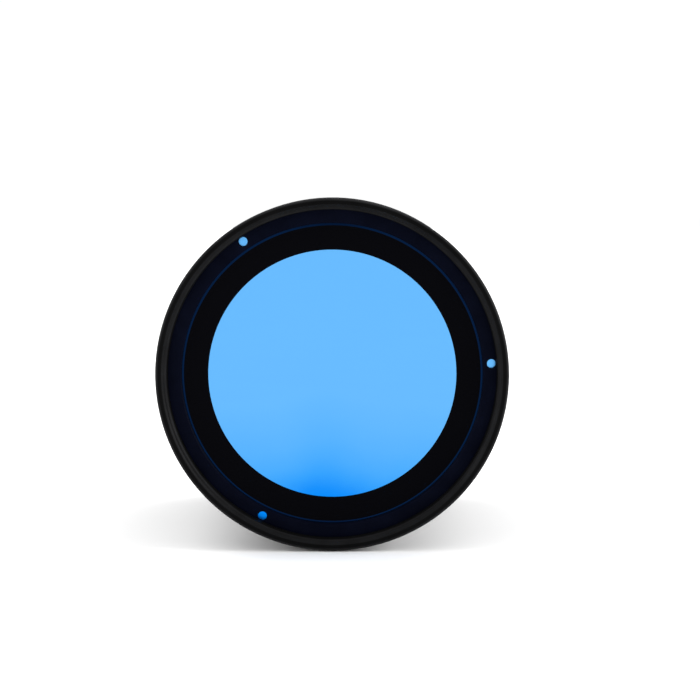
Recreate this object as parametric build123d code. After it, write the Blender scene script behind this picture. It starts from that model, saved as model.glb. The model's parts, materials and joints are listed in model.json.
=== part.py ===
from build123d import *
import math
import os

# A guide camera in a 2-inch barrel, with a blue-coated filter screwed into its nose.
# Millimetres. The optical axis is Y: light comes in from -Y. +Z is up, +X is to the
# right of someone who faces the filter. The origin is on the optical axis, on the
# barrel's front face, where the filter cell seats.

# ---- Modelling allowances, none of them a size of the object ----
OVERCUT = 1.0
SINK = 0.5
SLIVER = 0.02
TOLERANCE = 0.01

# ---- Barrel ----
BARREL_R = 25.4
BARREL_LENGTH = 45.0
BARREL_WALL = 2.0
BARREL_EDGE = 0.3
FRONT_LAND = 9.0
UNDERCUT_LENGTH = 12.0
UNDERCUT_DEPTH = 0.5
GROOVE_COUNT = 5
GROOVE_PITCH = 3.0
GROOVE_WIDTH = 1.2
GROOVE_DEPTH = 0.7
GROOVE_END_MARGIN = 6.0

# ---- The 0.75 mm pitch filter threads, drawn as rings ----
THREAD_PITCH = 0.75
THREAD_WALL = 1.4
THREAD_HEIGHT = 0.35
THREAD_RUNNING_GAP = 0.1
THREAD_HALF_WIDTH = 0.3
THREAD_RUNOUT = 0.6
BARREL_FIRST_TURN = 1.3
LEAD_FIRST_TURN = 0.65
LEAD_TURNS = 3
MALE_THREAD_LENGTH = 3.2
MALE_THREAD_RELIEF = 0.6
MALE_THREAD_ROOT = 0.45

# ---- Filter cell and what it holds ----
CELL_UNDERSIZE = 0.1
CELL_LIP_WIDTH = 0.9
CELL_RIM_ROUND = 0.5
RING_DEPTH = 2.6
RING_THICKNESS = 0.6
RING_SEAT_GAP = 0.05
RING_BAND = 1.95
RING_INNER_BREAK = 0.15
GLASS_THICKNESS = 2.0
GLASS_GAP = 0.1
LEDGE_THICKNESS = 2.05
LEDGE_WIDTH = 1.05
SPANNER_HOLES = 3
SPANNER_HOLE_R = 0.65
SPANNER_HOLE_EDGE = 0.7
SPANNER_HOLE_ANGLE = 3.8
APERTURE_R = 17.9
MASK_THICKNESS = 0.15
MASK_GAP = 0.3
LEAD_GROOVE_HEIGHT = 0.6
KNURL_TEETH = 120
KNURL_HEIGHT = 0.25
KNURL_SETBACK = 0.1
KNURL_FRONT_LAND = 1.4
KNURL_REAR_LAND = 1.3
CELL_SHOULDER_BREAK = 0.3

# ---- Window in front of the sensor ----
BULKHEAD_Y = 8.0
BULKHEAD_THICKNESS = 4.0
WINDOW_R = 15.0
WINDOW_THICKNESS = 1.5
WINDOW_GAP = 0.1
WINDOW_LEDGE = 3.0
WINDOW_RECESS = 3.0
WINDOW_SEAL_THICKNESS = 0.5
WINDOW_SEAL_WIDTH = 2.4
WINDOW_RING_THICKNESS = 0.9
WINDOW_RING_WIDTH = 2.2
WINDOW_NOTCH = 1.2
CAVITY_STEP = 0.8

# ---- Boards, posts and screws ----
BOARD_GAP = 0.6
BOARD_THICKNESS = 1.6
POST_INSET = 4.3
POST_COUNT = 3
FRONT_POST_ANGLE = 90.0
REAR_POST_ANGLE = 30.0
BOSS_R = 2.6
SPACER_ACROSS_FLATS = 4.0
TAPPED_R = 1.0
SCREW_R = 0.97
SCREW_HOLE_R = 1.15
SCREW_TIP_GAP = 0.5
PAN_HEAD_R = 1.9
PAN_HEAD_HEIGHT = 1.3
PAN_HEAD_ROUND = 0.4
DRIVE_R = 0.7
DRIVE_DEPTH = 0.7
COVER_HEAD_R = 2.0
COVER_SCREW_LENGTH = 7.5

# ---- Image sensor: a 13.4 mm diagonal chip, 17.5 mm behind the barrel's front face ----
SENSOR_PLANE_Y = 17.5
SENSOR_PACKAGE = (20.0, 16.0)
SENSOR_PACKAGE_RIM = 0.6
SENSOR_PACKAGE_FLOOR = 1.0
SENSOR_CAVITY = (14.0, 10.0)
SENSOR_DIE = (12.8, 8.6)
SENSOR_DIE_THICKNESS = 0.6
SENSOR_GLASS = (18.0, 14.0)
SENSOR_GLASS_THICKNESS = 0.5

# ---- Chips on the main board: width, height, thickness, then x and z of the middle ----
LOGIC_CHIP = (15.0, 13.0, 1.4, 0.0, 2.5)
USB_CHIP = (10.0, 10.0, 0.9, 2.0, -3.0)
MEMORY_CHIP = (8.0, 11.0, 1.0, -10.5, -2.0)
CAPACITOR = (1.6, 0.8, 0.8)
CAPACITORS_PER_ROW = 5
CAPACITOR_PITCH = 2.4
CAPACITOR_ROW_Z = -8.4

# ---- Connectors between boards ----
LINK_LENGTH = 14.0
LINK_WIDTH = 4.4
LINK_WALL = 0.8
LINK_ENTRY = 2.4
LINK_GAP = 0.1
LINK_HEAD_GAP = 0.5

# ---- Rear cover ----
FLANGE_THICKNESS = 4.0
FLANGE_ROUND = 0.8
SPIGOT_LENGTH = 4.0
SPIGOT_WALL = 1.7
SPIGOT_GAP = 0.1
SPIGOT_END_GAP = 0.5
PANEL_MARGIN = 3.2
PANEL_DEPTH = 0.4
SEAL_SECTION_R = 0.5
SEAL_GROOVE_DEPTH = 0.9
SEAL_GROOVE_WIDTH = 1.2
SEAL_SETBACK = 1.9
PORT_GAP = 0.15

# ---- Guide port: a six-way modular jack ----
JACK_WIDTH = 13.2
JACK_HEIGHT = 11.7
JACK_LENGTH = 12.0
JACK_Z = -5.6
JACK_MOUTH = (9.7, 6.7)
JACK_MOUTH_DEPTH = 10.0
JACK_LATCH = (5.2, 2.2)
JACK_CATCH = (3.2, 1.2)
JACK_CATCH_LENGTH = 2.0
JACK_SETBACK = 0.1
CONTACT_COUNT = 6
CONTACT_PITCH = 1.02
CONTACT_SIZE = 0.4
CONTACT_DROP = 1.7
CONTACT_FRONT = 2.0
CONTACT_BACK = 8.6
CONTACT_FOOT = 1.0

# ---- USB-C port ----
USB_WIDTH = 8.94
USB_HEIGHT = 3.26
USB_WALL = 0.3
USB_Z = 8.6
USB_SETBACK = 0.7
USB_MOUTH_DEPTH = 6.2
USB_TONGUE = (6.7, 0.7)
USB_TONGUE_LENGTH = 4.6
USB_BEZEL = 0.5

# ---- Status light ----
LIGHT_R = 1.0
LIGHT_HEAD_R = 1.4
LIGHT_HEAD_LENGTH = 0.8
LIGHT_STANDOFF = 0.4
LED = (1.6, 0.8, 0.6)

# ---- Worked out from the sizes above ----
thread_r = BARREL_R - THREAD_WALL
male_crest_r = thread_r - THREAD_RUNNING_GAP
male_root_r = male_crest_r - MALE_THREAD_ROOT
filter_bore_r = thread_r - THREAD_HEIGHT
cell_r = BARREL_R - CELL_UNDERSIZE
cell_lip_r = cell_r - CELL_LIP_WIDTH
glass_r = filter_bore_r - GLASS_GAP
ring_r = thread_r - RING_SEAT_GAP
ring_inner_r = filter_bore_r - RING_BAND
spanner_hole_circle_r = filter_bore_r - SPANNER_HOLE_EDGE
mask_r = ring_inner_r - MASK_GAP

cell_back_y = 0.0
glass_back_y = cell_back_y - LEDGE_THICKNESS
glass_front_y = glass_back_y - GLASS_THICKNESS
ring_front_y = glass_front_y - RING_THICKNESS
rim_y = ring_front_y - RING_DEPTH

bore_r = BARREL_R - BARREL_WALL
cavity_r = bore_r - CAVITY_STEP
bulkhead_back_y = BULKHEAD_Y + BULKHEAD_THICKNESS
window_floor_y = BULKHEAD_Y + WINDOW_RECESS
window_back_y = window_floor_y - WINDOW_SEAL_THICKNESS
window_front_y = window_back_y - WINDOW_THICKNESS

board_r = bore_r - BOARD_GAP
post_r = board_r - POST_INSET
package_floor_y = SENSOR_PLANE_Y + SENSOR_DIE_THICKNESS
package_front_y = SENSOR_PLANE_Y - SENSOR_PACKAGE_RIM
sensor_board_y = package_floor_y + SENSOR_PACKAGE_FLOOR
flange_y = BARREL_LENGTH
back_y = flange_y + FLANGE_THICKNESS
jack_front_y = back_y - JACK_SETBACK
port_board_y = jack_front_y - JACK_LENGTH - BOARD_THICKNESS
main_board_y = (sensor_board_y + port_board_y) / 2
inner_spacer_length = main_board_y - sensor_board_y - BOARD_THICKNESS
rear_spacer_length = flange_y - port_board_y - BOARD_THICKNESS
cover_screw_reach = COVER_SCREW_LENGTH - FLANGE_THICKNESS + PANEL_DEPTH
# The board screws are all alike. Two of them meet tip to tip in an inner spacer, and one
# meets a cover screw in a rear spacer, so their length follows the tighter of the two.
inner_screw_reach = (inner_spacer_length - SCREW_TIP_GAP) / 2
rear_screw_reach = rear_spacer_length - cover_screw_reach - SCREW_TIP_GAP
screw_length = BOARD_THICKNESS + min(inner_screw_reach, rear_screw_reach)
link_z = post_r - PAN_HEAD_R - LINK_HEAD_GAP - LINK_WIDTH / 2
light_x = (USB_WIDTH / 2 + post_r * math.cos(math.radians(REAR_POST_ANGLE))) / 2
usb_front_y = back_y - USB_SETBACK

FRONT_POSTS = [FRONT_POST_ANGLE + i * 360 / POST_COUNT for i in range(POST_COUNT)]
REAR_POSTS = [REAR_POST_ANGLE + i * 360 / POST_COUNT for i in range(POST_COUNT)]


# ---- Shapes that many parts share ----

def turned(outline):
    """A body turned about the optical axis from its half outline of (radius, y)."""
    return revolve(make_face(Polyline(*outline, close=True)), Axis.Y)


def ring(inner_r, outer_r, y_from, y_to):
    """A plain washer on the optical axis."""
    return turned([(inner_r, y_from), (outer_r, y_from), (outer_r, y_to), (inner_r, y_to)])


def rod(r, y_from, y_to, x=0.0, z=0.0):
    """A round bar along the optical axis."""
    return Pos(x, (y_from + y_to) / 2, z) * Rot(90, 0, 0) * Cylinder(r, y_to - y_from)


def block(width, height, y_from, y_to, x=0.0, z=0.0):
    """A box with its middle at x, z."""
    return Pos(x, (y_from + y_to) / 2, z) * Box(width, y_to - y_from, height)


def lengthwise(sketch, y_from, y_to, x=0.0, z=0.0):
    """A flat sketch drawn out along the optical axis, seen upright from the rear."""
    return Pos(x, y_to, z) * Rot(90, 0, 0) * extrude(sketch, y_to - y_from)


def cone(r_from, r_to, y_from, y_to, x=0.0, z=0.0):
    """A cone along the optical axis, r_from wide at y_from."""
    turn = Rot(-90, 0, 0)
    return Pos(x, (y_from + y_to) / 2, z) * turn * Cone(r_from, r_to, y_to - y_from)


def on_circle(r, angle):
    """The x and z of a point on a circle about the optical axis, angle from +X."""
    return r * math.cos(math.radians(angle)), r * math.sin(math.radians(angle))


def vee(wall_r, tip_r, y, half_width):
    """The ring cut out by one thread groove; tip_r is its deepest radius."""
    start_r = wall_r - SLIVER if tip_r > wall_r else wall_r + SLIVER
    return turned([(start_r, y - half_width), (tip_r, y), (start_r, y + half_width)])


def circular_edges(solid, r, y):
    """The round edges of that radius at that place on the optical axis."""
    edges = solid.edges().filter_by(GeomType.CIRCLE)
    edges = [e for e in edges if abs(e.radius - r) < TOLERANCE]
    return [e for e in edges if abs(e.arc_center.Y - y) < TOLERANCE]


# ---- The filter: cell, spanner ring, mask and glass ----

def knurl():
    """A band of straight grip teeth, on a ring that the cell's body fills in."""
    crest_r = cell_r - KNURL_SETBACK
    root_r = crest_r - KNURL_HEIGHT
    points = []
    for i in range(2 * KNURL_TEETH):
        r = crest_r if i % 2 else root_r
        points.append(on_circle(r, i * 180 / KNURL_TEETH))
    teeth = make_face(Polyline(*points, close=True)) - Circle(cell_lip_r)
    return lengthwise(teeth, rim_y + KNURL_FRONT_LAND, cell_back_y - KNURL_REAR_LAND)


def make_filter_cell():
    knurl_core_r = cell_r - KNURL_SETBACK - KNURL_HEIGHT - SLIVER
    knurl_front_y = rim_y + KNURL_FRONT_LAND
    knurl_back_y = cell_back_y - KNURL_REAR_LAND
    male_end_y = cell_back_y + MALE_THREAD_LENGTH
    relief_y = cell_back_y + MALE_THREAD_RELIEF
    ledge_r = glass_r - LEDGE_WIDTH
    seat_back_y = glass_front_y + RING_SEAT_GAP
    seat_front_y = ring_front_y - RING_SEAT_GAP
    cell = turned([
        (cell_lip_r, rim_y),
        (cell_r, rim_y),
        (cell_r, knurl_front_y),
        (knurl_core_r, knurl_front_y),
        (knurl_core_r, knurl_back_y),
        (cell_r, knurl_back_y),
        (cell_r, cell_back_y - CELL_SHOULDER_BREAK),
        (cell_r - CELL_SHOULDER_BREAK, cell_back_y),
        (male_root_r, cell_back_y),
        (male_root_r, relief_y),
        (male_crest_r, relief_y + MALE_THREAD_ROOT),
        (male_crest_r, male_end_y - MALE_THREAD_ROOT),
        (male_root_r, male_end_y),
        (ledge_r, male_end_y),
        (ledge_r, glass_back_y),
        (filter_bore_r, glass_back_y),
        (filter_bore_r, seat_back_y),
        (thread_r, seat_back_y),
        (thread_r, seat_front_y),
        (filter_bore_r, seat_front_y),
        (filter_bore_r, rim_y + cell_lip_r - filter_bore_r),
    ])
    cell = fillet(circular_edges(cell, cell_r, rim_y), CELL_RIM_ROUND)
    cell += knurl()
    first_male_y = relief_y + MALE_THREAD_ROOT + THREAD_HALF_WIDTH
    last_male_y = male_end_y - MALE_THREAD_ROOT
    for i in range(int((last_male_y - first_male_y) / THREAD_PITCH) + 1):
        y = first_male_y + i * THREAD_PITCH
        cell -= vee(male_crest_r, male_root_r, y, THREAD_HALF_WIDTH)
    # The front thread's turns lean by half a pitch, so the first one runs out
    # through the rim's bevel on one side only.
    lean = math.degrees(math.atan(THREAD_PITCH / (4 * thread_r)))
    for i in range(LEAD_TURNS):
        y = rim_y + (i + LEAD_FIRST_TURN) * THREAD_PITCH
        groove = vee(filter_bore_r, filter_bore_r + LEAD_GROOVE_HEIGHT, 0, THREAD_HALF_WIDTH)
        cell -= Pos(0, y, 0) * Rot(0, 0, lean) * groove
    return cell


def make_retaining_ring():
    body = ring(ring_inner_r, ring_r, ring_front_y, glass_front_y)
    body = chamfer(circular_edges(body, ring_inner_r, ring_front_y), RING_INNER_BREAK)
    for i in range(SPANNER_HOLES):
        angle = SPANNER_HOLE_ANGLE + i * 360 / SPANNER_HOLES
        x, z = on_circle(spanner_hole_circle_r, angle)
        body -= rod(SPANNER_HOLE_R, ring_front_y - OVERCUT, glass_front_y + OVERCUT, x, z)
    return body


def make_mask_ring():
    return ring(APERTURE_R, mask_r, glass_front_y - MASK_THICKNESS, glass_front_y)


def make_filter_glass():
    return rod(glass_r, glass_front_y, glass_back_y)


# ---- The barrel ----

def make_barrel():
    undercut_y = FRONT_LAND
    undercut_end_y = undercut_y + UNDERCUT_LENGTH
    undercut_r = BARREL_R - UNDERCUT_DEPTH
    tapped_end_y = MALE_THREAD_LENGTH + THREAD_RUNOUT
    window_recess_r = WINDOW_R + WINDOW_GAP
    spigot_end_y = BARREL_LENGTH - SPIGOT_LENGTH - SPIGOT_END_GAP
    body = turned([
        (thread_r + THREAD_HEIGHT, 0),
        (BARREL_R - BARREL_EDGE, 0),
        (BARREL_R, BARREL_EDGE),
        (BARREL_R, undercut_y),
        (undercut_r, undercut_y + UNDERCUT_DEPTH),
        (undercut_r, undercut_end_y),
        (BARREL_R, undercut_end_y + UNDERCUT_DEPTH),
        (BARREL_R, BARREL_LENGTH - BARREL_EDGE),
        (BARREL_R - BARREL_EDGE, BARREL_LENGTH),
        (bore_r + SPIGOT_GAP, BARREL_LENGTH),
        (bore_r + SPIGOT_GAP, spigot_end_y),
        (bore_r, spigot_end_y),
        (bore_r, bulkhead_back_y),
        (WINDOW_R - WINDOW_LEDGE, bulkhead_back_y),
        (WINDOW_R - WINDOW_LEDGE, window_floor_y),
        (window_recess_r, window_floor_y),
        (window_recess_r, BULKHEAD_Y),
        (cavity_r, BULKHEAD_Y),
        (cavity_r, tapped_end_y),
        (thread_r, tapped_end_y),
        (thread_r, THREAD_HEIGHT),
    ])
    for i in range(GROOVE_COUNT):
        y = BARREL_LENGTH - GROOVE_END_MARGIN - i * GROOVE_PITCH
        half = GROOVE_WIDTH / 2
        body -= ring(BARREL_R - GROOVE_DEPTH, BARREL_R + OVERCUT, y - half, y + half)
    for i in range(int((tapped_end_y - THREAD_PITCH) / THREAD_PITCH)):
        y = (i + BARREL_FIRST_TURN) * THREAD_PITCH
        body -= vee(thread_r, thread_r + THREAD_HEIGHT, y, THREAD_HALF_WIDTH)
    for angle in FRONT_POSTS:
        x, z = on_circle(post_r, angle)
        body += rod(BOSS_R, bulkhead_back_y - SINK, sensor_board_y, x, z)
    for angle in FRONT_POSTS:
        x, z = on_circle(post_r, angle)
        body -= rod(TAPPED_R, bulkhead_back_y, sensor_board_y + OVERCUT, x, z)
    return body


# ---- The window that closes the sensor's chamber ----

def make_window_seal():
    return ring(WINDOW_R - WINDOW_SEAL_WIDTH, WINDOW_R, window_back_y, window_floor_y)


def make_window_glass():
    return rod(WINDOW_R, window_front_y, window_back_y)


def make_window_ring():
    front_y = window_front_y - WINDOW_RING_THICKNESS
    body = ring(WINDOW_R - WINDOW_RING_WIDTH, WINDOW_R, front_y, window_front_y)
    half = WINDOW_RING_THICKNESS / 2
    across = 2 * (WINDOW_R + OVERCUT)
    notch = block(across, WINDOW_NOTCH, front_y - OVERCUT, front_y + half)
    return body - notch


# ---- The image sensor ----

def make_sensor_package():
    width, height = SENSOR_PACKAGE
    body = block(width, height, package_front_y, sensor_board_y)
    return body - block(*SENSOR_CAVITY, package_front_y - OVERCUT, package_floor_y)


def make_sensor_die():
    width, height = SENSOR_DIE
    return block(width, height, SENSOR_PLANE_Y, package_floor_y)


def make_sensor_glass():
    width, height = SENSOR_GLASS
    return block(width, height, package_front_y - SENSOR_GLASS_THICKNESS, package_front_y)


# ---- Boards, spacers and screws ----

def make_board(y):
    """A round board whose front face is at y, drilled for every post."""
    body = rod(board_r, y, y + BOARD_THICKNESS)
    for angle in FRONT_POSTS + REAR_POSTS:
        x, z = on_circle(post_r, angle)
        body -= rod(SCREW_HOLE_R, y - OVERCUT, y + BOARD_THICKNESS + OVERCUT, x, z)
    return body


def make_spacers(angles, y_from, y_to):
    """Hexagonal spacers, tapped right through."""
    bars = []
    for angle in angles:
        x, z = on_circle(post_r, angle)
        hexagon = RegularPolygon(SPACER_ACROSS_FLATS / 2, 6, major_radius=False)
        bar = lengthwise(hexagon, y_from, y_to, x, z)
        bars.append(bar - rod(TAPPED_R, y_from - OVERCUT, y_to + OVERCUT, x, z))
    return bars


def pan_screw():
    """A small pan-head screw: shank towards +Y, head towards -Y, seat at the origin."""
    head = rod(PAN_HEAD_R, -PAN_HEAD_HEIGHT, 0)
    head = fillet(circular_edges(head, PAN_HEAD_R, -PAN_HEAD_HEIGHT), PAN_HEAD_ROUND)
    screw = head + rod(SCREW_R, -SINK, screw_length)
    hexagon = RegularPolygon(DRIVE_R, 6, major_radius=False)
    return screw - lengthwise(hexagon, -PAN_HEAD_HEIGHT - OVERCUT, DRIVE_DEPTH - PAN_HEAD_HEIGHT)


def make_board_screws():
    """Each board has screws from the rear into the posts ahead of it, and the reverse."""
    screw = pan_screw()
    screws = []
    posts_ahead, posts_behind = FRONT_POSTS, REAR_POSTS
    for y in (sensor_board_y, main_board_y, port_board_y):
        for angle in posts_ahead:
            x, z = on_circle(post_r, angle)
            screws.append(Pos(x, y + BOARD_THICKNESS, z) * Rot(180, 0, 0) * screw)
        for angle in posts_behind:
            x, z = on_circle(post_r, angle)
            screws.append(Pos(x, y, z) * screw)
        posts_ahead, posts_behind = posts_behind, posts_ahead
    return screws


def chip(size, board_face_y, side):
    """A flat package on a board; side is -1 on the board's front, +1 on its rear."""
    width, height, thickness, x, z = size
    y_from = min(board_face_y, board_face_y + side * thickness)
    return block(width, height, y_from, y_from + thickness, x, z)


def make_capacitors():
    """A row of small capacitors on the rear of the sensor board and of the main board."""
    width, height, thickness = CAPACITOR
    bodies = []
    for y in (sensor_board_y, main_board_y):
        for i in range(CAPACITORS_PER_ROW):
            x = (i - (CAPACITORS_PER_ROW - 1) / 2) * CAPACITOR_PITCH
            face_y = y + BOARD_THICKNESS
            bodies.append(block(width, height, face_y, face_y + thickness, x, CAPACITOR_ROW_Z))
    return bodies


def make_link(y_from, y_to, z):
    """A board-to-board socket, on the board at y_from, and the plug that goes into it."""
    split_y = y_to - (y_to - y_from) / 3
    mouth_length = LINK_LENGTH - 2 * LINK_WALL
    mouth_width = LINK_WIDTH - 2 * LINK_WALL
    entry = min(LINK_ENTRY, (y_to - y_from) / 3)
    socket = block(LINK_LENGTH, LINK_WIDTH, y_from, split_y, z=z)
    socket -= block(mouth_length, mouth_width, split_y - entry, split_y + OVERCUT, z=z)
    plug = block(LINK_LENGTH, LINK_WIDTH, split_y, y_to, z=z)
    tongue_length = mouth_length - 2 * LINK_GAP
    tongue_width = mouth_width - 2 * LINK_GAP
    tongue_y = split_y - entry + LINK_GAP
    plug += block(tongue_length, tongue_width, tongue_y, split_y + SINK, z=z)
    return socket, plug


# ---- The rear cover ----

def slot_outline(width, height, grow=0.0):
    """A flat-sided oval, such as the mouth of a USB-C port."""
    return SlotOverall(width + 2 * grow, height + 2 * grow)


def make_rear_cover():
    spigot_r = bore_r
    spigot_inner_r = spigot_r - SPIGOT_WALL
    spigot_y = flange_y - SPIGOT_LENGTH
    seal_y = flange_y - SEAL_SETBACK
    body = turned([
        (0, flange_y),
        (spigot_inner_r, flange_y),
        (spigot_inner_r, spigot_y),
        (spigot_r - BARREL_EDGE, spigot_y),
        (spigot_r, spigot_y + BARREL_EDGE),
        (spigot_r, flange_y),
        (BARREL_R - BARREL_EDGE, flange_y),
        (BARREL_R, flange_y + BARREL_EDGE),
        (BARREL_R, back_y),
        (0, back_y),
    ])
    body = fillet(circular_edges(body, BARREL_R, back_y), FLANGE_ROUND)
    half = SEAL_GROOVE_WIDTH / 2
    groove_r = spigot_r - SEAL_GROOVE_DEPTH
    body -= ring(groove_r, spigot_r + OVERCUT, seal_y - half, seal_y + half)
    past_back_y = back_y + OVERCUT
    before_flange_y = flange_y - OVERCUT
    body -= rod(BARREL_R - PANEL_MARGIN, back_y - PANEL_DEPTH, past_back_y)
    jack_hole = (JACK_WIDTH + 2 * PORT_GAP, JACK_HEIGHT + 2 * PORT_GAP)
    body -= block(*jack_hole, before_flange_y, past_back_y, z=JACK_Z)
    usb_hole = slot_outline(USB_WIDTH, USB_HEIGHT, PORT_GAP)
    body -= lengthwise(usb_hole, before_flange_y, past_back_y, z=USB_Z)
    usb_bezel = slot_outline(USB_WIDTH, USB_HEIGHT, PORT_GAP + USB_BEZEL)
    body -= lengthwise(usb_bezel, usb_front_y, past_back_y, z=USB_Z)
    body -= rod(LIGHT_R + PORT_GAP, before_flange_y, past_back_y, light_x, USB_Z)
    light_seat_y = back_y - PANEL_DEPTH - LIGHT_HEAD_LENGTH / 2
    body -= rod(LIGHT_HEAD_R + PORT_GAP, light_seat_y, past_back_y, light_x, USB_Z)
    # The countersinks have the same slope and width as the screw heads that seat in them.
    face_y = back_y - PANEL_DEPTH
    cone_y = face_y - (COVER_HEAD_R - SCREW_HOLE_R)
    for angle in REAR_POSTS:
        x, z = on_circle(post_r, angle)
        body -= rod(SCREW_HOLE_R, before_flange_y, past_back_y, x, z)
        body -= cone(SCREW_HOLE_R, COVER_HEAD_R, cone_y, face_y, x, z)
    return body


def make_rear_seal():
    """An O-ring, a little proud of the spigot so that it bears on the barrel."""
    centre_r = bore_r + SPIGOT_GAP - SEAL_SECTION_R
    section = Pos(centre_r, flange_y - SEAL_SETBACK) * Circle(SEAL_SECTION_R)
    return revolve(section, Axis.Y)


def make_cover_screws():
    """Flat-head screws through the cover into the last spacers."""
    screws = []
    face_y = back_y - PANEL_DEPTH
    cone_y = face_y - (COVER_HEAD_R - SCREW_R)
    for angle in REAR_POSTS:
        x, z = on_circle(post_r, angle)
        screw = cone(SCREW_R, COVER_HEAD_R, cone_y, face_y, x, z)
        screw += rod(SCREW_R, face_y - COVER_SCREW_LENGTH, cone_y + SLIVER, x, z)
        hexagon = RegularPolygon(DRIVE_R, 6, major_radius=False)
        screws.append(screw - lengthwise(hexagon, face_y - DRIVE_DEPTH, face_y + OVERCUT, x, z))
    return screws


# ---- The ports and the status light, on the port board ----

def make_guide_jack():
    board_face_y = port_board_y + BOARD_THICKNESS
    mouth_back_y = jack_front_y - JACK_MOUTH_DEPTH
    mouth_width, mouth_height = JACK_MOUTH
    latch_width, latch_height = JACK_LATCH
    catch_width, catch_height = JACK_CATCH
    body = block(JACK_WIDTH, JACK_HEIGHT, board_face_y, jack_front_y, z=JACK_Z)
    past_front_y = jack_front_y + OVERCUT
    body -= block(mouth_width, mouth_height, mouth_back_y, past_front_y, z=JACK_Z)
    latch_z = JACK_Z - mouth_height / 2 - latch_height / 2
    latch = block(latch_width, latch_height + SLIVER, mouth_back_y, past_front_y, z=latch_z)
    catch_z = JACK_Z - mouth_height / 2 - latch_height + catch_height / 2
    side = (latch_width - catch_width) / 2
    for sign in (-1, 1):
        x = sign * (latch_width - side) / 2
        catch_y = jack_front_y - JACK_CATCH_LENGTH
        latch -= block(side, catch_height, catch_y, past_front_y, x, catch_z)
    return body - latch


def make_guide_contacts():
    """Gilt wires, each with a foot on the roof of the guide port's mouth, that slope down
    towards the back of it."""
    roof_z = JACK_Z + JACK_MOUTH[1] / 2 - CONTACT_SIZE / 2
    front_y = jack_front_y - CONTACT_FRONT
    run = CONTACT_BACK - CONTACT_FRONT
    slope = math.degrees(math.atan(CONTACT_DROP / run))
    length = math.hypot(run, CONTACT_DROP)
    foot_back_y = front_y - CONTACT_SIZE / 2
    wires = []
    for i in range(CONTACT_COUNT):
        x = (i - (CONTACT_COUNT - 1) / 2) * CONTACT_PITCH
        middle = Pos(x, front_y - run / 2, roof_z - CONTACT_DROP / 2)
        wire = middle * Rot(slope, 0, 0) * Box(CONTACT_SIZE, length, CONTACT_SIZE)
        foot = block(CONTACT_SIZE, CONTACT_SIZE, foot_back_y, front_y + CONTACT_FOOT, x, roof_z)
        wires.append(wire + foot)
    return wires


def make_usb_shell():
    board_face_y = port_board_y + BOARD_THICKNESS
    outside = slot_outline(USB_WIDTH, USB_HEIGHT)
    inside = slot_outline(USB_WIDTH, USB_HEIGHT, -USB_WALL)
    return lengthwise(outside - inside, board_face_y, usb_front_y, z=USB_Z)


def make_usb_tongue():
    """The moulding inside the USB-C shell: a plug-shaped base and the tongue on it."""
    board_face_y = port_board_y + BOARD_THICKNESS
    floor_y = usb_front_y - USB_MOUTH_DEPTH
    base = lengthwise(slot_outline(USB_WIDTH, USB_HEIGHT, -USB_WALL), board_face_y, floor_y, z=USB_Z)
    width, thickness = USB_TONGUE
    return base + block(width, thickness, floor_y - SINK, floor_y + USB_TONGUE_LENGTH, z=USB_Z)


def make_status_led():
    width, height, thickness = LED
    board_face_y = port_board_y + BOARD_THICKNESS
    return block(width, height, board_face_y, board_face_y + thickness, light_x, USB_Z)


def make_light_pipe():
    """A clear rod from just above the lamp to the rear face, held by its head."""
    start_y = port_board_y + BOARD_THICKNESS + LED[2] + LIGHT_STANDOFF
    face_y = back_y - PANEL_DEPTH
    seat_y = face_y - LIGHT_HEAD_LENGTH / 2
    pipe = rod(LIGHT_R, start_y, seat_y + SLIVER, light_x, USB_Z)
    head = rod(LIGHT_HEAD_R, seat_y, seat_y + LIGHT_HEAD_LENGTH, light_x, USB_Z)
    return pipe + head


# ---- Every node, by name ----

def make_parts():
    board_back = BOARD_THICKNESS
    main_back_y = main_board_y + board_back
    sensor_link = make_link(sensor_board_y + board_back, main_board_y, link_z)
    port_link = make_link(main_back_y, port_board_y, -link_z)
    return {
        "filter_cell": make_filter_cell(),
        "retaining_ring": make_retaining_ring(),
        "mask_ring": make_mask_ring(),
        "filter_glass": make_filter_glass(),
        "barrel": make_barrel(),
        "window_ring": make_window_ring(),
        "window_glass": make_window_glass(),
        "window_seal": make_window_seal(),
        "sensor_glass": make_sensor_glass(),
        "sensor_die": make_sensor_die(),
        "sensor_package": make_sensor_package(),
        "sensor_board": make_board(sensor_board_y),
        "sensor_link_socket": sensor_link[0],
        "sensor_link_plug": sensor_link[1],
        "front_spacers": make_spacers(REAR_POSTS, sensor_board_y + board_back, main_board_y),
        "main_board": make_board(main_board_y),
        "logic_chip": chip(LOGIC_CHIP, main_back_y, 1),
        "usb_chip": chip(USB_CHIP, main_board_y, -1),
        "memory_chip": chip(MEMORY_CHIP, main_board_y, -1),
        "capacitors": make_capacitors(),
        "port_link_socket": port_link[0],
        "port_link_plug": port_link[1],
        "middle_spacers": make_spacers(FRONT_POSTS, main_back_y, port_board_y),
        "port_board": make_board(port_board_y),
        "rear_spacers": make_spacers(REAR_POSTS, port_board_y + board_back, flange_y),
        "board_screws": make_board_screws(),
        "guide_jack": make_guide_jack(),
        "guide_contacts": make_guide_contacts(),
        "usb_shell": make_usb_shell(),
        "usb_tongue": make_usb_tongue(),
        "status_led": make_status_led(),
        "light_pipe": make_light_pipe(),
        "rear_cover": make_rear_cover(),
        "rear_seal": make_rear_seal(),
        "cover_screws": make_cover_screws(),
    }


os.makedirs("parts", exist_ok=True)
for name, shape in make_parts().items():
    group = Compound(children=shape) if isinstance(shape, list) else shape
    export_step(group, f"parts/{name}.step")
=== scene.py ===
import json
import math

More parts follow.
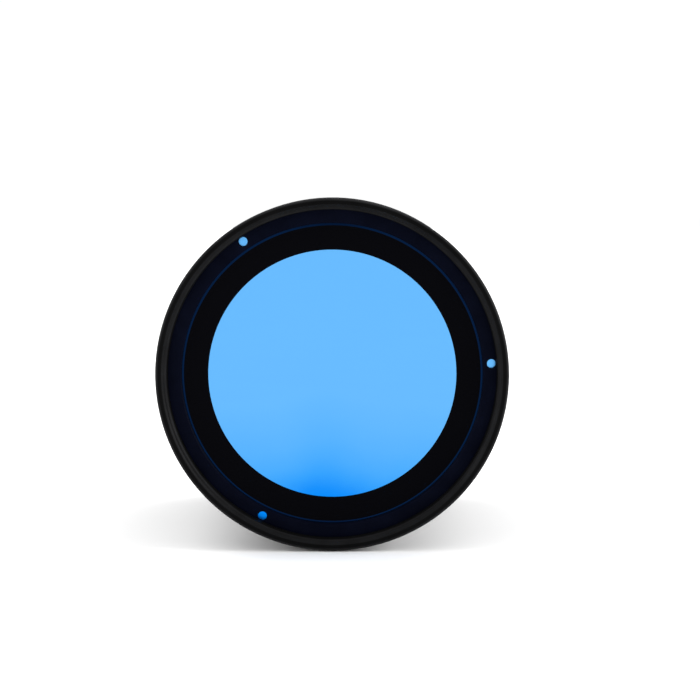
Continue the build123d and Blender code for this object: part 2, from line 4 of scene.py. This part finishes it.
import bmesh
import bpy
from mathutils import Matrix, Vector


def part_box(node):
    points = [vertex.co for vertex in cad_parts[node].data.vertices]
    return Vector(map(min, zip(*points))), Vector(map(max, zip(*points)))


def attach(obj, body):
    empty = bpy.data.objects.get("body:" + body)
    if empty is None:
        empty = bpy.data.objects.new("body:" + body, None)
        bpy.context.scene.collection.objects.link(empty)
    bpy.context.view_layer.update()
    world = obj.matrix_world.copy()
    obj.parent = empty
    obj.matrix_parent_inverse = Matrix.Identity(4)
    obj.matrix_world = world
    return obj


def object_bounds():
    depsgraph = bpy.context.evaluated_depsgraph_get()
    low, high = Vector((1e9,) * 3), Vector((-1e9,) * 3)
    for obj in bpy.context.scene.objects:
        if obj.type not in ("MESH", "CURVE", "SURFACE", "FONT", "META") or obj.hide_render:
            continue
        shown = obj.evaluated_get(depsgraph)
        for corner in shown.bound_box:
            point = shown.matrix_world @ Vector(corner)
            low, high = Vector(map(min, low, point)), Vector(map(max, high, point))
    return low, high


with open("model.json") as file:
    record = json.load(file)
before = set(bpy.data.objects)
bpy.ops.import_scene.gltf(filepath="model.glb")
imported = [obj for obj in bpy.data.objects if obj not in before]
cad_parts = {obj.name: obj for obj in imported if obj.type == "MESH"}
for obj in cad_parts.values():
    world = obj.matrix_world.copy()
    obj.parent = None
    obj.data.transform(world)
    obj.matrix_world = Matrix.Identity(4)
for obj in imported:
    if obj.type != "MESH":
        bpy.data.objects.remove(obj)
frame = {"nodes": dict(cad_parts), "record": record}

# A guide camera with a blue filter in its nose, lying on a white table. Metres, in the
# part's own frame: the optical axis is Y, the filter faces -Y, +Z is up.

MM = 0.001
cad_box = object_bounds()
cell_low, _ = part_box("filter_cell")
rim_y = cell_low.y
floor_z = cad_box[0].z

# ---- Camera: in front of the filter, about as high as the object's top, looking down ----
CAMERA_DISTANCE = 270 * MM
CAMERA_ELEVATION = math.radians(4.35)
CAMERA_LENS = 97.4
CAMERA_SENSOR = 36.0
CAMERA_NEAR = 1 * MM
CAMERA_FAR = 20.0
AIM_RIGHT = 2.55 * MM
AIM_UP = 3.68 * MM

# ---- Light: a white room, and broad soft lamps on both sides and behind ----
SKY = 1.02
LAMP_SPREAD = math.radians(40)
# Each lamp's name, its bearing from the front towards +X and its height in degrees, and
# its strength.
LAMPS = [
    ("right_lamp", 90, 20, 1.05),
    ("left_lamp", -90, 20, 0.4),
    ("back_right_lamp", 135, 50, 0.2),
    ("back_left_lamp", -135, 50, 0.35),
]

# ---- Table ----
FLOOR_HALF = 4.0
FLOOR_DARK = 0.885
FLOOR_LIGHT = 0.90
FLOOR_PATCH = 30 * MM

# ---- Filter glass, with painted shade and painted light ----
COATING_BRIGHTNESS = 0.60
COATING_POLISH = 0.035
POLISH_SPREAD = 0.015
# The blues are painted shade, deepening downwards over a ramp that reaches the same half span
# above and below the axis.
# Away from its middle line the painted shade starts up to a set distance lower down, and soft
# patches make its edge uneven.
SHADE_RAMP_HALF = 24.0 * MM
SHADE_MIDDLE_X = -1.0 * MM
SHADE_SIDE_WIDTH = 5.0 * MM
SHADE_SHIFT = 2.5 * MM
SHADE_CLOUD_SIZE = 5 * MM
SHADE_CLOUD_DEPTH = 1.6 * MM
# The slit, painted dark as painted shade, starts under the mask, and the ground border, painted
# lighter as painted light, runs on from its outer edge.
SLIT_FROM_R = 19.0 * MM
SLIT_TO_R = 22.1 * MM
SLIT_PAINTED_SHADE = (0.0013, 0.0075, 0.028, 1.0)
BORDER_ROUGHNESS = 0.28
# The border's colour is painted lighter by this share, as painted light.
BORDER_PAINTED_LIGHT = 0.25

# ---- Radii on the filter cell's front ----
BORE_R = 23.68 * MM
BEVEL_IN_R = 23.76 * MM
BEVEL_OUT_R = 24.36 * MM
FACE_IN_R = 24.46 * MM
FACE_OUT_R = 24.86 * MM
SIDE_R = 25.12 * MM

# ---- Grain of the turned parts ----
TURNING_LINE = 0.22 * MM
TURNING_DEPTH = 0.004 * MM
# How much a step along the axis moves the lines, so that they run round straight walls too.
TURNING_SLOPE = 0.6
SATIN_GRAIN = 0.09 * MM
SATIN_DEPTH = 0.002 * MM
SATIN_ROUGHNESS = (0.34, 0.46)
STAIN_SIZE = 3 * MM


# ---- Building materials ----

class Surface:
    """A material whose patterns are placed by the part's own coordinates."""

    def __init__(self, name, colour, roughness, metallic=0.0, specular=0.5):
        self.material = bpy.data.materials.new(name)
        self.material.use_nodes = True
        self.tree = self.material.node_tree
        self.shader = self.tree.nodes["Principled BSDF"]
        self.place = self.add("ShaderNodeTexCoord").outputs["Object"]
        self.put("Base Color", (*colour, 1.0))
        self.put("Roughness", roughness)
        self.put("Metallic", metallic)
        self.put("Specular IOR Level", specular)

    def add(self, kind, **settings):
        """A new node with the given settings."""
        node = self.tree.nodes.new(kind)
        for name, value in settings.items():
            setattr(node, name, value)
        return node

    def join(self, socket, value):
        """Gives a socket another node's output, or a constant."""
        if isinstance(value, bpy.types.NodeSocket):
            self.tree.links.new(value, socket)
        else:
            socket.default_value = value

    def put(self, name, value):
        """Sets one input of the shader."""
        self.join(self.shader.inputs[name], value)

    def math(self, operation, a, b=0.0):
        """The result of one operation on one or two numbers."""
        node = self.add("ShaderNodeMath", operation=operation)
        self.join(node.inputs[0], a)
        self.join(node.inputs[1], b)
        return node.outputs[0]

    def axes(self):
        """The x, y and z of the surface."""
        node = self.add("ShaderNodeSeparateXYZ")
        self.join(node.inputs[0], self.place)
        return node.outputs

    def radius(self):
        """The distance from the optical axis."""
        x, _, z = self.axes()
        squares = self.math("ADD", self.math("MULTIPLY", x, x), self.math("MULTIPLY", z, z))
        return self.math("SQRT", squares)

    def stretched(self, x, y, z):
        """The surface's place with its three axes scaled apart, for drawn-out patterns."""
        node = self.add("ShaderNodeMapping")
        self.join(node.inputs["Vector"], self.place)
        node.inputs["Scale"].default_value = (x, y, z)
        return node.outputs[0]

    def noise(self, size, detail=2.0, place=None):
        """Soft random patches of about that size, from 0 to 1."""
        node = self.add("ShaderNodeTexNoise")
        self.join(node.inputs["Vector"], place or self.place)
        self.join(node.inputs["Scale"], 1.0 / size)
        self.join(node.inputs["Detail"], detail)
        return node.outputs[0]

    def turning_lines(self):
        """Fine rings about the optical axis, as a lathe tool leaves them."""
        slope = self.math("MULTIPLY", self.axes()[1], TURNING_SLOPE)
        along = self.math("ADD", self.radius(), slope)
        node = self.add("ShaderNodeTexNoise", noise_dimensions="1D")
        self.join(node.inputs["W"], along)
        self.join(node.inputs["Scale"], 1.0 / TURNING_LINE)
        self.join(node.inputs["Detail"], 3.0)
        return node.outputs[0]

    def span(self, factor, low, high, factor_low=0.25, factor_high=0.75):
        """A number that runs from low to high with the factor."""
        node = self.add("ShaderNodeMapRange")
        for name, value in zip(
            ("Value", "From Min", "From Max", "To Min", "To Max"),
            (factor, factor_low, factor_high, low, high),
        ):
            self.join(node.inputs[name], value)
        return node.outputs[0]

    def ramp(self, factor, stops):
        """A colour that runs through the stops, each a place and a colour."""
        node = self.add("ShaderNodeValToRGB")
        elements = node.color_ramp.elements
        while len(elements) < len(stops):
            elements.new(1.0)
        for element, (place, colour) in zip(elements, stops):
            element.position = place
            element.color = (*colour, 1.0)
        self.join(node.inputs[0], factor)
        return node.outputs[0]

    def mixed(self, factor, first, second):
        """One colour over another by a factor."""
        node = self.add("ShaderNodeMix", data_type="RGBA")
        self.join(node.inputs[0], factor)
        self.join(node.inputs[6], first)
        self.join(node.inputs[7], second)
        return node.outputs[2]

    def bump(self, height, depth, strength=1.0, under=None):
        """Small relief of that depth, on top of any relief made before."""
        node = self.add("ShaderNodeBump")
        self.join(node.inputs["Height"], height)
        self.join(node.inputs["Distance"], depth)
        self.join(node.inputs["Strength"], strength)
        if under is not None:
            self.join(node.inputs["Normal"], under)
        self.put("Normal", node.outputs[0])
        return node.outputs[0]

    def lathe_finish(self, lines):
        """The sheen and relief of turning lines under a fine satin skin."""
        self.put("Roughness", self.span(lines, *SATIN_ROUGHNESS))
        under = self.bump(lines, TURNING_DEPTH, strength=0.5)
        self.bump(self.noise(SATIN_GRAIN), SATIN_DEPTH, strength=0.4, under=under)


# ---- Metals ----

def ring_anodise(name):
    """The spanner ring: blue-black anodised aluminium straight from the lathe."""
    dark = (0.0013, 0.0019, 0.0060)
    light = (0.0022, 0.0031, 0.0092)
    skin = Surface(name, dark, roughness=0.4, specular=0.012)
    lines = skin.turning_lines()
    stains = skin.noise(STAIN_SIZE, detail=3.0)
    skin.put("Base Color", skin.ramp(stains, [(0.3, dark), (0.7, light)]))
    skin.lathe_finish(lines)
    return skin.material


def cell_anodise(name):
    """The filter cell: a bore painted near black as painted shade, a bevel painted lighter than
    the flat face beside it as a painted highlight, a rounded outer edge painted lighter as a
    painted highlight, and a satin side that matches the barrel."""
    skin = Surface(name, (0.002, 0.002, 0.0022), roughness=0.4, specular=0.03)
    lines = skin.turning_lines()
    stains = skin.noise(STAIN_SIZE, detail=3.0)
    # Painted light in the tone steps: the bore is painted dark as shade, and the bevel and the
    # rounded outer edge are painted lighter as highlights; the flat face keeps the anodise's
    # own tone.
    tones_with_painted_light = [
        (BORE_R, 0.0004),
        (BEVEL_IN_R, 0.0072),
        (BEVEL_OUT_R, 0.0056),
        (FACE_IN_R, 0.0016),
        (FACE_OUT_R, 0.0016),
        (SIDE_R, 0.0120),
    ]
    across = skin.span(skin.radius(), 0.0, 1.0, factor_low=BORE_R, factor_high=SIDE_R)

    def tinted(tint):
        """The tone steps across the radius, painted shade and highlights included, each
        multiplied by a tint.
        """
        stops = []
        for r, tone in tones_with_painted_light:
            place = (r - BORE_R) / (SIDE_R - BORE_R)
            stops.append((place, [share * tone for share in tint]))
        return skin.ramp(across, stops)

    dark = tinted((1.0, 1.0, 1.06))
    light = tinted((1.5, 1.5, 1.6))
    stained = skin.span(stains, 0.0, 1.0, factor_low=0.3, factor_high=0.7)
    skin.put("Base Color", skin.mixed(stained, dark, light))
    skin.lathe_finish(lines)
    return skin.material


def blasted_anodise(name):
    """Black anodised aluminium, bead-blasted: a fine even grain, a little rubbed."""
    dark = (0.0050, 0.0050, 0.0055)
    light = (0.0090, 0.0090, 0.0100)
    skin = Surface(name, dark, roughness=0.45, specular=0.16)
    grain = skin.noise(0.16 * MM, detail=3.0)
    patches = skin.noise(6 * MM, detail=4.0)
    rubbed = skin.noise(4 * MM, detail=5.0, place=skin.stretched(3.0, 0.35, 3.0))
    skin.put("Base Color", skin.ramp(patches, [(0.3, dark), (0.7, light)]))
    skin.put("Roughness", skin.span(rubbed, 0.40, 0.54))
    skin.bump(grain, 0.010 * MM, strength=0.6)
    return skin.material


def matte_black(name):
    """Flat black paint with a fine tooth, for parts that must not reflect."""
    dark = (0.0014, 0.0014, 0.0020)
    light = (0.0028, 0.0028, 0.0040)
    skin = Surface(name, (0.002, 0.002, 0.0028), roughness=0.8, specular=0.008)
    tooth = skin.noise(0.12 * MM, detail=4.0)
    skin.put("Base Color", skin.ramp(tooth, [(0.35, dark), (0.7, light)]))
    skin.bump(tooth, 0.012 * MM, strength=0.6)
    return skin.material


def plated(name, colour, roughness, depth):
    """A plated metal with faint drawing streaks along the part."""
    skin = Surface(name, colour, roughness, metallic=1.0)
    streaks = skin.noise(0.2 * MM, detail=3.0, place=skin.stretched(1.0, 0.08, 1.0))
    darker = tuple(0.78 * c for c in colour)
    patches = skin.noise(1.5 * MM, detail=3.0)
    skin.put("Base Color", skin.ramp(patches, [(0.3, darker), (0.65, colour)]))
    skin.put("Roughness", skin.span(streaks, roughness - 0.05, roughness + 0.1))
    skin.bump(streaks, depth, strength=0.4)
    return skin.material


# ---- Glass ----

def blue_coating(name):
    """The filter's mirror-bright blue coating. Its colour is painted deeper towards its lower
    edge as painted shade, painted dark as painted shade in the shadowed slit between the mask
    and the spanner ring, and is ground satin and painted lighter as painted light at its
    border, where the spanner holes show it."""
    skin = Surface(name, (0.1, 0.35, 0.7), roughness=0.03, metallic=1.0)
    x, _, z = skin.axes()
    # Painted shade: how far below the axis a point lies, moved at the sides and made uneven by
    # soft patches, picks how deep its blue is painted.
    aside = skin.math("DIVIDE", skin.math("SUBTRACT", x, SHADE_MIDDLE_X), SHADE_SIDE_WIDTH)
    minus_square = skin.math("MULTIPLY", skin.math("MULTIPLY", aside, aside), -1.0)
    falloff = skin.math("EXPONENT", minus_square)
    shade_shift = skin.math("MULTIPLY", skin.math("SUBTRACT", 1.0, falloff), SHADE_SHIFT)
    patches = skin.math("SUBTRACT", skin.noise(SHADE_CLOUD_SIZE, detail=3.0), 0.5)
    shade_clouds = skin.math("MULTIPLY", patches, SHADE_CLOUD_DEPTH)
    below = skin.math("ADD", skin.math("MULTIPLY", z, -1.0), shade_clouds)
    depth = skin.math("SUBTRACT", below, shade_shift)
    # Millimetres below the axis, and the colour there: a painted shade that deepens downwards.
    painted_shade_blues = [
        (-6.0, (0.143, 0.502, 1.0)),
        (2.0, (0.140, 0.498, 1.0)),
        (5.5, (0.124, 0.480, 1.0)),
        (9.0, (0.102, 0.455, 1.0)),
        (12.0, (0.072, 0.420, 1.0)),
        (14.4, (0.037, 0.366, 1.0)),
        (16.6, (0.010, 0.290, 1.0)),
        (18.0, (0.001, 0.262, 0.98)),
        (20.5, (0.0006, 0.17, 0.72)),
    ]
    stops = []
    for below_axis, colour in painted_shade_blues:
        place = (below_axis * MM + SHADE_RAMP_HALF) / (2 * SHADE_RAMP_HALF)
        stops.append((place, [COATING_BRIGHTNESS * c for c in colour]))
    down = skin.span(depth, 0.0, 1.0, factor_low=-SHADE_RAMP_HALF, factor_high=SHADE_RAMP_HALF)
    blue = skin.ramp(down, stops)
    r = skin.radius()
    # The shadowed slit gets a painted shade colour.
    past_start = skin.math("GREATER_THAN", r, SLIT_FROM_R)
    before_end = skin.math("LESS_THAN", r, SLIT_TO_R)
    painted_shade_slit = skin.math("MULTIPLY", past_start, before_end)
    # The border's colour is painted lighter, as painted light.
    border = skin.math("GREATER_THAN", r, SLIT_TO_R)
    painted_light_gain = skin.math("ADD", 1.0, skin.math("MULTIPLY", border, BORDER_PAINTED_LIGHT))
    painted_brighter = skin.add("ShaderNodeVectorMath", operation="SCALE")
    skin.join(painted_brighter.inputs[0], blue)
    skin.join(painted_brighter.inputs["Scale"], painted_light_gain)
    skin.put("Base Color", skin.mixed(painted_shade_slit, painted_brighter.outputs[0], SLIT_PAINTED_SHADE))
    smooth, rough = COATING_POLISH - POLISH_SPREAD, COATING_POLISH + POLISH_SPREAD
    polish = skin.span(skin.noise(2 * MM), smooth, rough)
    ground = skin.math("MULTIPLY", border, BORDER_ROUGHNESS)
    skin.put("Roughness", skin.math("MAXIMUM", polish, ground))
    return skin.material


def clear_glass(name):
    """Coated window glass with the faintest unevenness."""
    skin = Surface(name, (0.93, 0.97, 1.0), roughness=0.02)
    skin.put("Transmission Weight", 1.0)
    skin.put("IOR", 1.52)
    skin.put("Roughness", skin.span(skin.noise(1.5 * MM), 0.01, 0.04))
    return skin.material


def lamp_plastic(name):
    """Clear light-guide plastic with a slight milkiness."""
    skin = Surface(name, (0.80, 0.85, 0.87), roughness=0.25)
    milk = skin.noise(0.5 * MM)
    skin.put("Transmission Weight", 0.6)
    clear, milky = (0.77, 0.82, 0.84), (0.84, 0.88, 0.90)
    skin.put("Base Color", skin.ramp(milk, [(0.3, clear), (0.7, milky)]))
    skin.put("Roughness", skin.span(milk, 0.24, 0.32))
    skin.bump(milk, 0.003 * MM, strength=0.2)
    return skin.material


# ---- Plastics, rubber and electronics ----

def moulded(name, colour, roughness, specular=0.5, depth=0.006 * MM):
    """Moulded plastic or rubber with a fine spark-eroded grain."""
    skin = Surface(name, colour, roughness, specular=specular)
    grain = skin.noise(0.12 * MM, detail=3.0)
    patches = skin.noise(2.5 * MM, detail=3.0)
    lighter = tuple(1.35 * c for c in colour)
    skin.put("Base Color", skin.ramp(patches, [(0.3, colour), (0.75, lighter)]))
    skin.put("Roughness", skin.span(grain, roughness - 0.06, roughness + 0.08))
    skin.bump(grain, depth, strength=0.5)
    return skin.material


def circuit_board(name):
    """Green solder mask, a little raised over fine copper tracks."""
    skin = Surface(name, (0.012, 0.085, 0.035), roughness=0.3)
    cells = skin.add("ShaderNodeTexVoronoi", feature="DISTANCE_TO_EDGE", distance="MANHATTAN")
    skin.join(cells.inputs["Vector"], skin.place)
    skin.join(cells.inputs["Scale"], 1.0 / (1.6 * MM))
    track = skin.span(cells.outputs["Distance"], 1.0, 0.0, factor_low=0.03, factor_high=0.07)
    plain, over_track = (0.009, 0.066, 0.028), (0.022, 0.125, 0.050)
    skin.put("Base Color", skin.ramp(track, [(0.2, plain), (0.8, over_track)]))
    skin.put("Roughness", skin.span(skin.noise(0.5 * MM), 0.24, 0.36))
    skin.bump(track, 0.03 * MM, strength=0.6)
    return skin.material


def silicon(name):
    """The sensor's surface: polished, with a violet sheen and the finest grain."""
    skin = Surface(name, (0.20, 0.17, 0.26), roughness=0.15, metallic=0.9)
    sheen = skin.noise(4 * MM)
    violet, grey = (0.16, 0.13, 0.25), (0.26, 0.21, 0.29)
    skin.put("Base Color", skin.ramp(sheen, [(0.3, violet), (0.7, grey)]))
    skin.bump(skin.noise(0.03 * MM), 0.001 * MM, strength=0.5)
    return skin.material


def make_materials():
    """The material of every slot that the record names."""
    black = (0.016, 0.016, 0.017)
    jack_black = (0.007, 0.007, 0.0075)
    return {
        "cell_anodise": cell_anodise("cell_anodise"),
        "ring_anodise": ring_anodise("ring_anodise"),
        "barrel_anodise": blasted_anodise("barrel_anodise"),
        "mask_black": matte_black("mask_black"),
        "blue_glass": blue_coating("blue_glass"),
        "clear_glass": clear_glass("clear_glass"),
        "lamp": lamp_plastic("lamp"),
        "seal_rubber": moulded("seal_rubber", (0.015, 0.015, 0.015), 0.75, specular=0.3),
        "silicon": silicon("silicon"),
        "ceramic": moulded("ceramic", (0.55, 0.50, 0.43), 0.6),
        "circuit_board": circuit_board("circuit_board"),
        "connector_plastic": moulded("connector_plastic", black, 0.45),
        "jack_plastic": moulded("jack_plastic", jack_black, 0.36, 0.22, depth=0.003 * MM),
        "chip_epoxy": moulded("chip_epoxy", (0.022, 0.022, 0.023), 0.6, depth=0.010 * MM),
        "spacer_brass": plated("spacer_brass", (0.72, 0.52, 0.22), 0.28, 0.004 * MM),
        "screw_steel": plated("screw_steel", (0.58, 0.58, 0.60), 0.30, 0.003 * MM),
        "screw_black": plated("screw_black", (0.026, 0.026, 0.028), 0.38, 0.003 * MM),
        "port_steel": plated("port_steel", (0.66, 0.66, 0.68), 0.24, 0.002 * MM),
        "contact_gold": plated("contact_gold", (0.90, 0.64, 0.22), 0.20, 0.001 * MM),
    }


# ---- Small parts that the frame leaves plain ----

def add_block(mesh, low, high):
    """Adds a box between two corners to a mesh being built."""
    corners = []
    for i in range(8):
        corner = [high[axis] if i >> axis & 1 else low[axis] for axis in range(3)]
        corners.append(mesh.verts.new(corner))
    sides = ((0, 2, 3, 1), (4, 5, 7, 6), (0, 1, 5, 4), (2, 6, 7, 3), (0, 4, 6, 2), (1, 3, 7, 5))
    for side in sides:
        mesh.faces.new([corners[i] for i in side])


def finish_piece(name, mesh, slot, body, edge):
    """Turns a built mesh into a piece with softened edges that rides on a body."""
    bmesh.ops.bevel(mesh, geom=mesh.edges[:], offset=edge, segments=2, affect="EDGES")
    data = bpy.data.meshes.new(name)
    mesh.to_mesh(data)
    mesh.free()
    data.materials.append(materials[slot])
    piece = bpy.data.objects.new(name, data)
    bpy.context.scene.collection.objects.link(piece)
    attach(piece, body)


def usb_pads():
    """Twelve gilt pads on each side of the USB-C tongue."""
    low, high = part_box("usb_tongue")
    middle = (low + high) / 2
    half_tongue = 0.35 * MM
    pad_width = 0.27 * MM
    pad_length = 3.4 * MM
    pad_height = 0.03 * MM
    pad_sink = 0.02 * MM
    pad_edge = 0.008 * MM
    pitch = 0.5 * MM
    pads = 12
    setback = 0.35 * MM
    mesh = bmesh.new()
    for side in (-1, 1):
        near = middle.z + side * (half_tongue - pad_sink)
        far = middle.z + side * (half_tongue + pad_height)
        for i in range(pads):
            x = middle.x + (i - (pads - 1) / 2) * pitch
            corner = (x - pad_width / 2, high.y - setback - pad_length, min(near, far))
            opposite = (x + pad_width / 2, high.y - setback, max(near, far))
            add_block(mesh, corner, opposite)
    finish_piece("usb_pads", mesh, "contact_gold", "camera", pad_edge)


# ---- The stage ----

def make_floor():
    """A white table that runs out of sight."""
    data = bpy.data.meshes.new("floor")
    corners = [(-1, -1), (1, -1), (1, 1), (-1, 1)]
    points = [(x * FLOOR_HALF, y * FLOOR_HALF, floor_z) for x, y in corners]
    data.from_pydata(points, [], [(0, 1, 2, 3)])
    floor = bpy.data.objects.new("floor", data)
    bpy.context.scene.collection.objects.link(floor)
    dark, light = 3 * (FLOOR_DARK,), 3 * (FLOOR_LIGHT,)
    paper = Surface("table_white", light, roughness=0.7, specular=0.2)
    patches = paper.noise(FLOOR_PATCH, detail=3.0)
    paper.put("Base Color", paper.ramp(patches, [(0.3, dark), (0.7, light)]))
    data.materials.append(paper.material)


def add_lamp(name, bearing, height, strength):
    """A broad soft light from far away; a strength of 1 lights a facing white card fully."""
    light = bpy.data.lights.new(name, "SUN")
    light.angle = LAMP_SPREAD
    light.energy = math.pi * strength
    bearing, height = math.radians(bearing), math.radians(height)
    across, upward = math.cos(height), math.sin(height)
    towards = Vector((math.sin(bearing) * across, -math.cos(bearing) * across, upward))
    lamp = bpy.data.objects.new(name, light)
    lamp.rotation_euler = towards.to_track_quat("Z", "Y").to_euler()
    bpy.context.scene.collection.objects.link(lamp)


def add_sky():
    """Even white light from all round, which is also the white background."""
    world = bpy.data.worlds.new("white_studio")
    world.use_nodes = True
    shade = world.node_tree.nodes["Background"]
    shade.inputs["Color"].default_value = (1.0, 1.0, 1.0, 1.0)
    shade.inputs["Strength"].default_value = SKY
    bpy.context.scene.world = world


def add_camera():
    """Aims a little above the rim's centre and to its right, as the picture is framed."""
    data = bpy.data.cameras.new("camera")
    data.sensor_width = CAMERA_SENSOR
    data.lens = CAMERA_LENS
    data.clip_start = CAMERA_NEAR
    data.clip_end = CAMERA_FAR
    back = Vector((0, -math.cos(CAMERA_ELEVATION), math.sin(CAMERA_ELEVATION)))
    up = Vector((0, math.sin(CAMERA_ELEVATION), math.cos(CAMERA_ELEVATION)))
    rim_centre = Vector((0, rim_y, 0))
    aim = rim_centre + Vector((AIM_RIGHT, 0, 0)) + AIM_UP * up
    camera = bpy.data.objects.new("camera", data)
    camera.location = aim + CAMERA_DISTANCE * back
    camera.rotation_euler = (-back).to_track_quat("-Z", "Y").to_euler()
    bpy.context.scene.collection.objects.link(camera)
    bpy.context.scene.camera = camera


materials = make_materials()
for subpart in frame["record"]["subparts"]:
    part = frame["nodes"][subpart["node"]]
    for slot in part.material_slots:
        slot.material = materials[subpart["material_slot"]]

usb_pads()
make_floor()
add_sky()
for lamp in LAMPS:
    add_lamp(*lamp)
add_camera()
bpy.context.scene.view_settings.view_transform = "Standard"
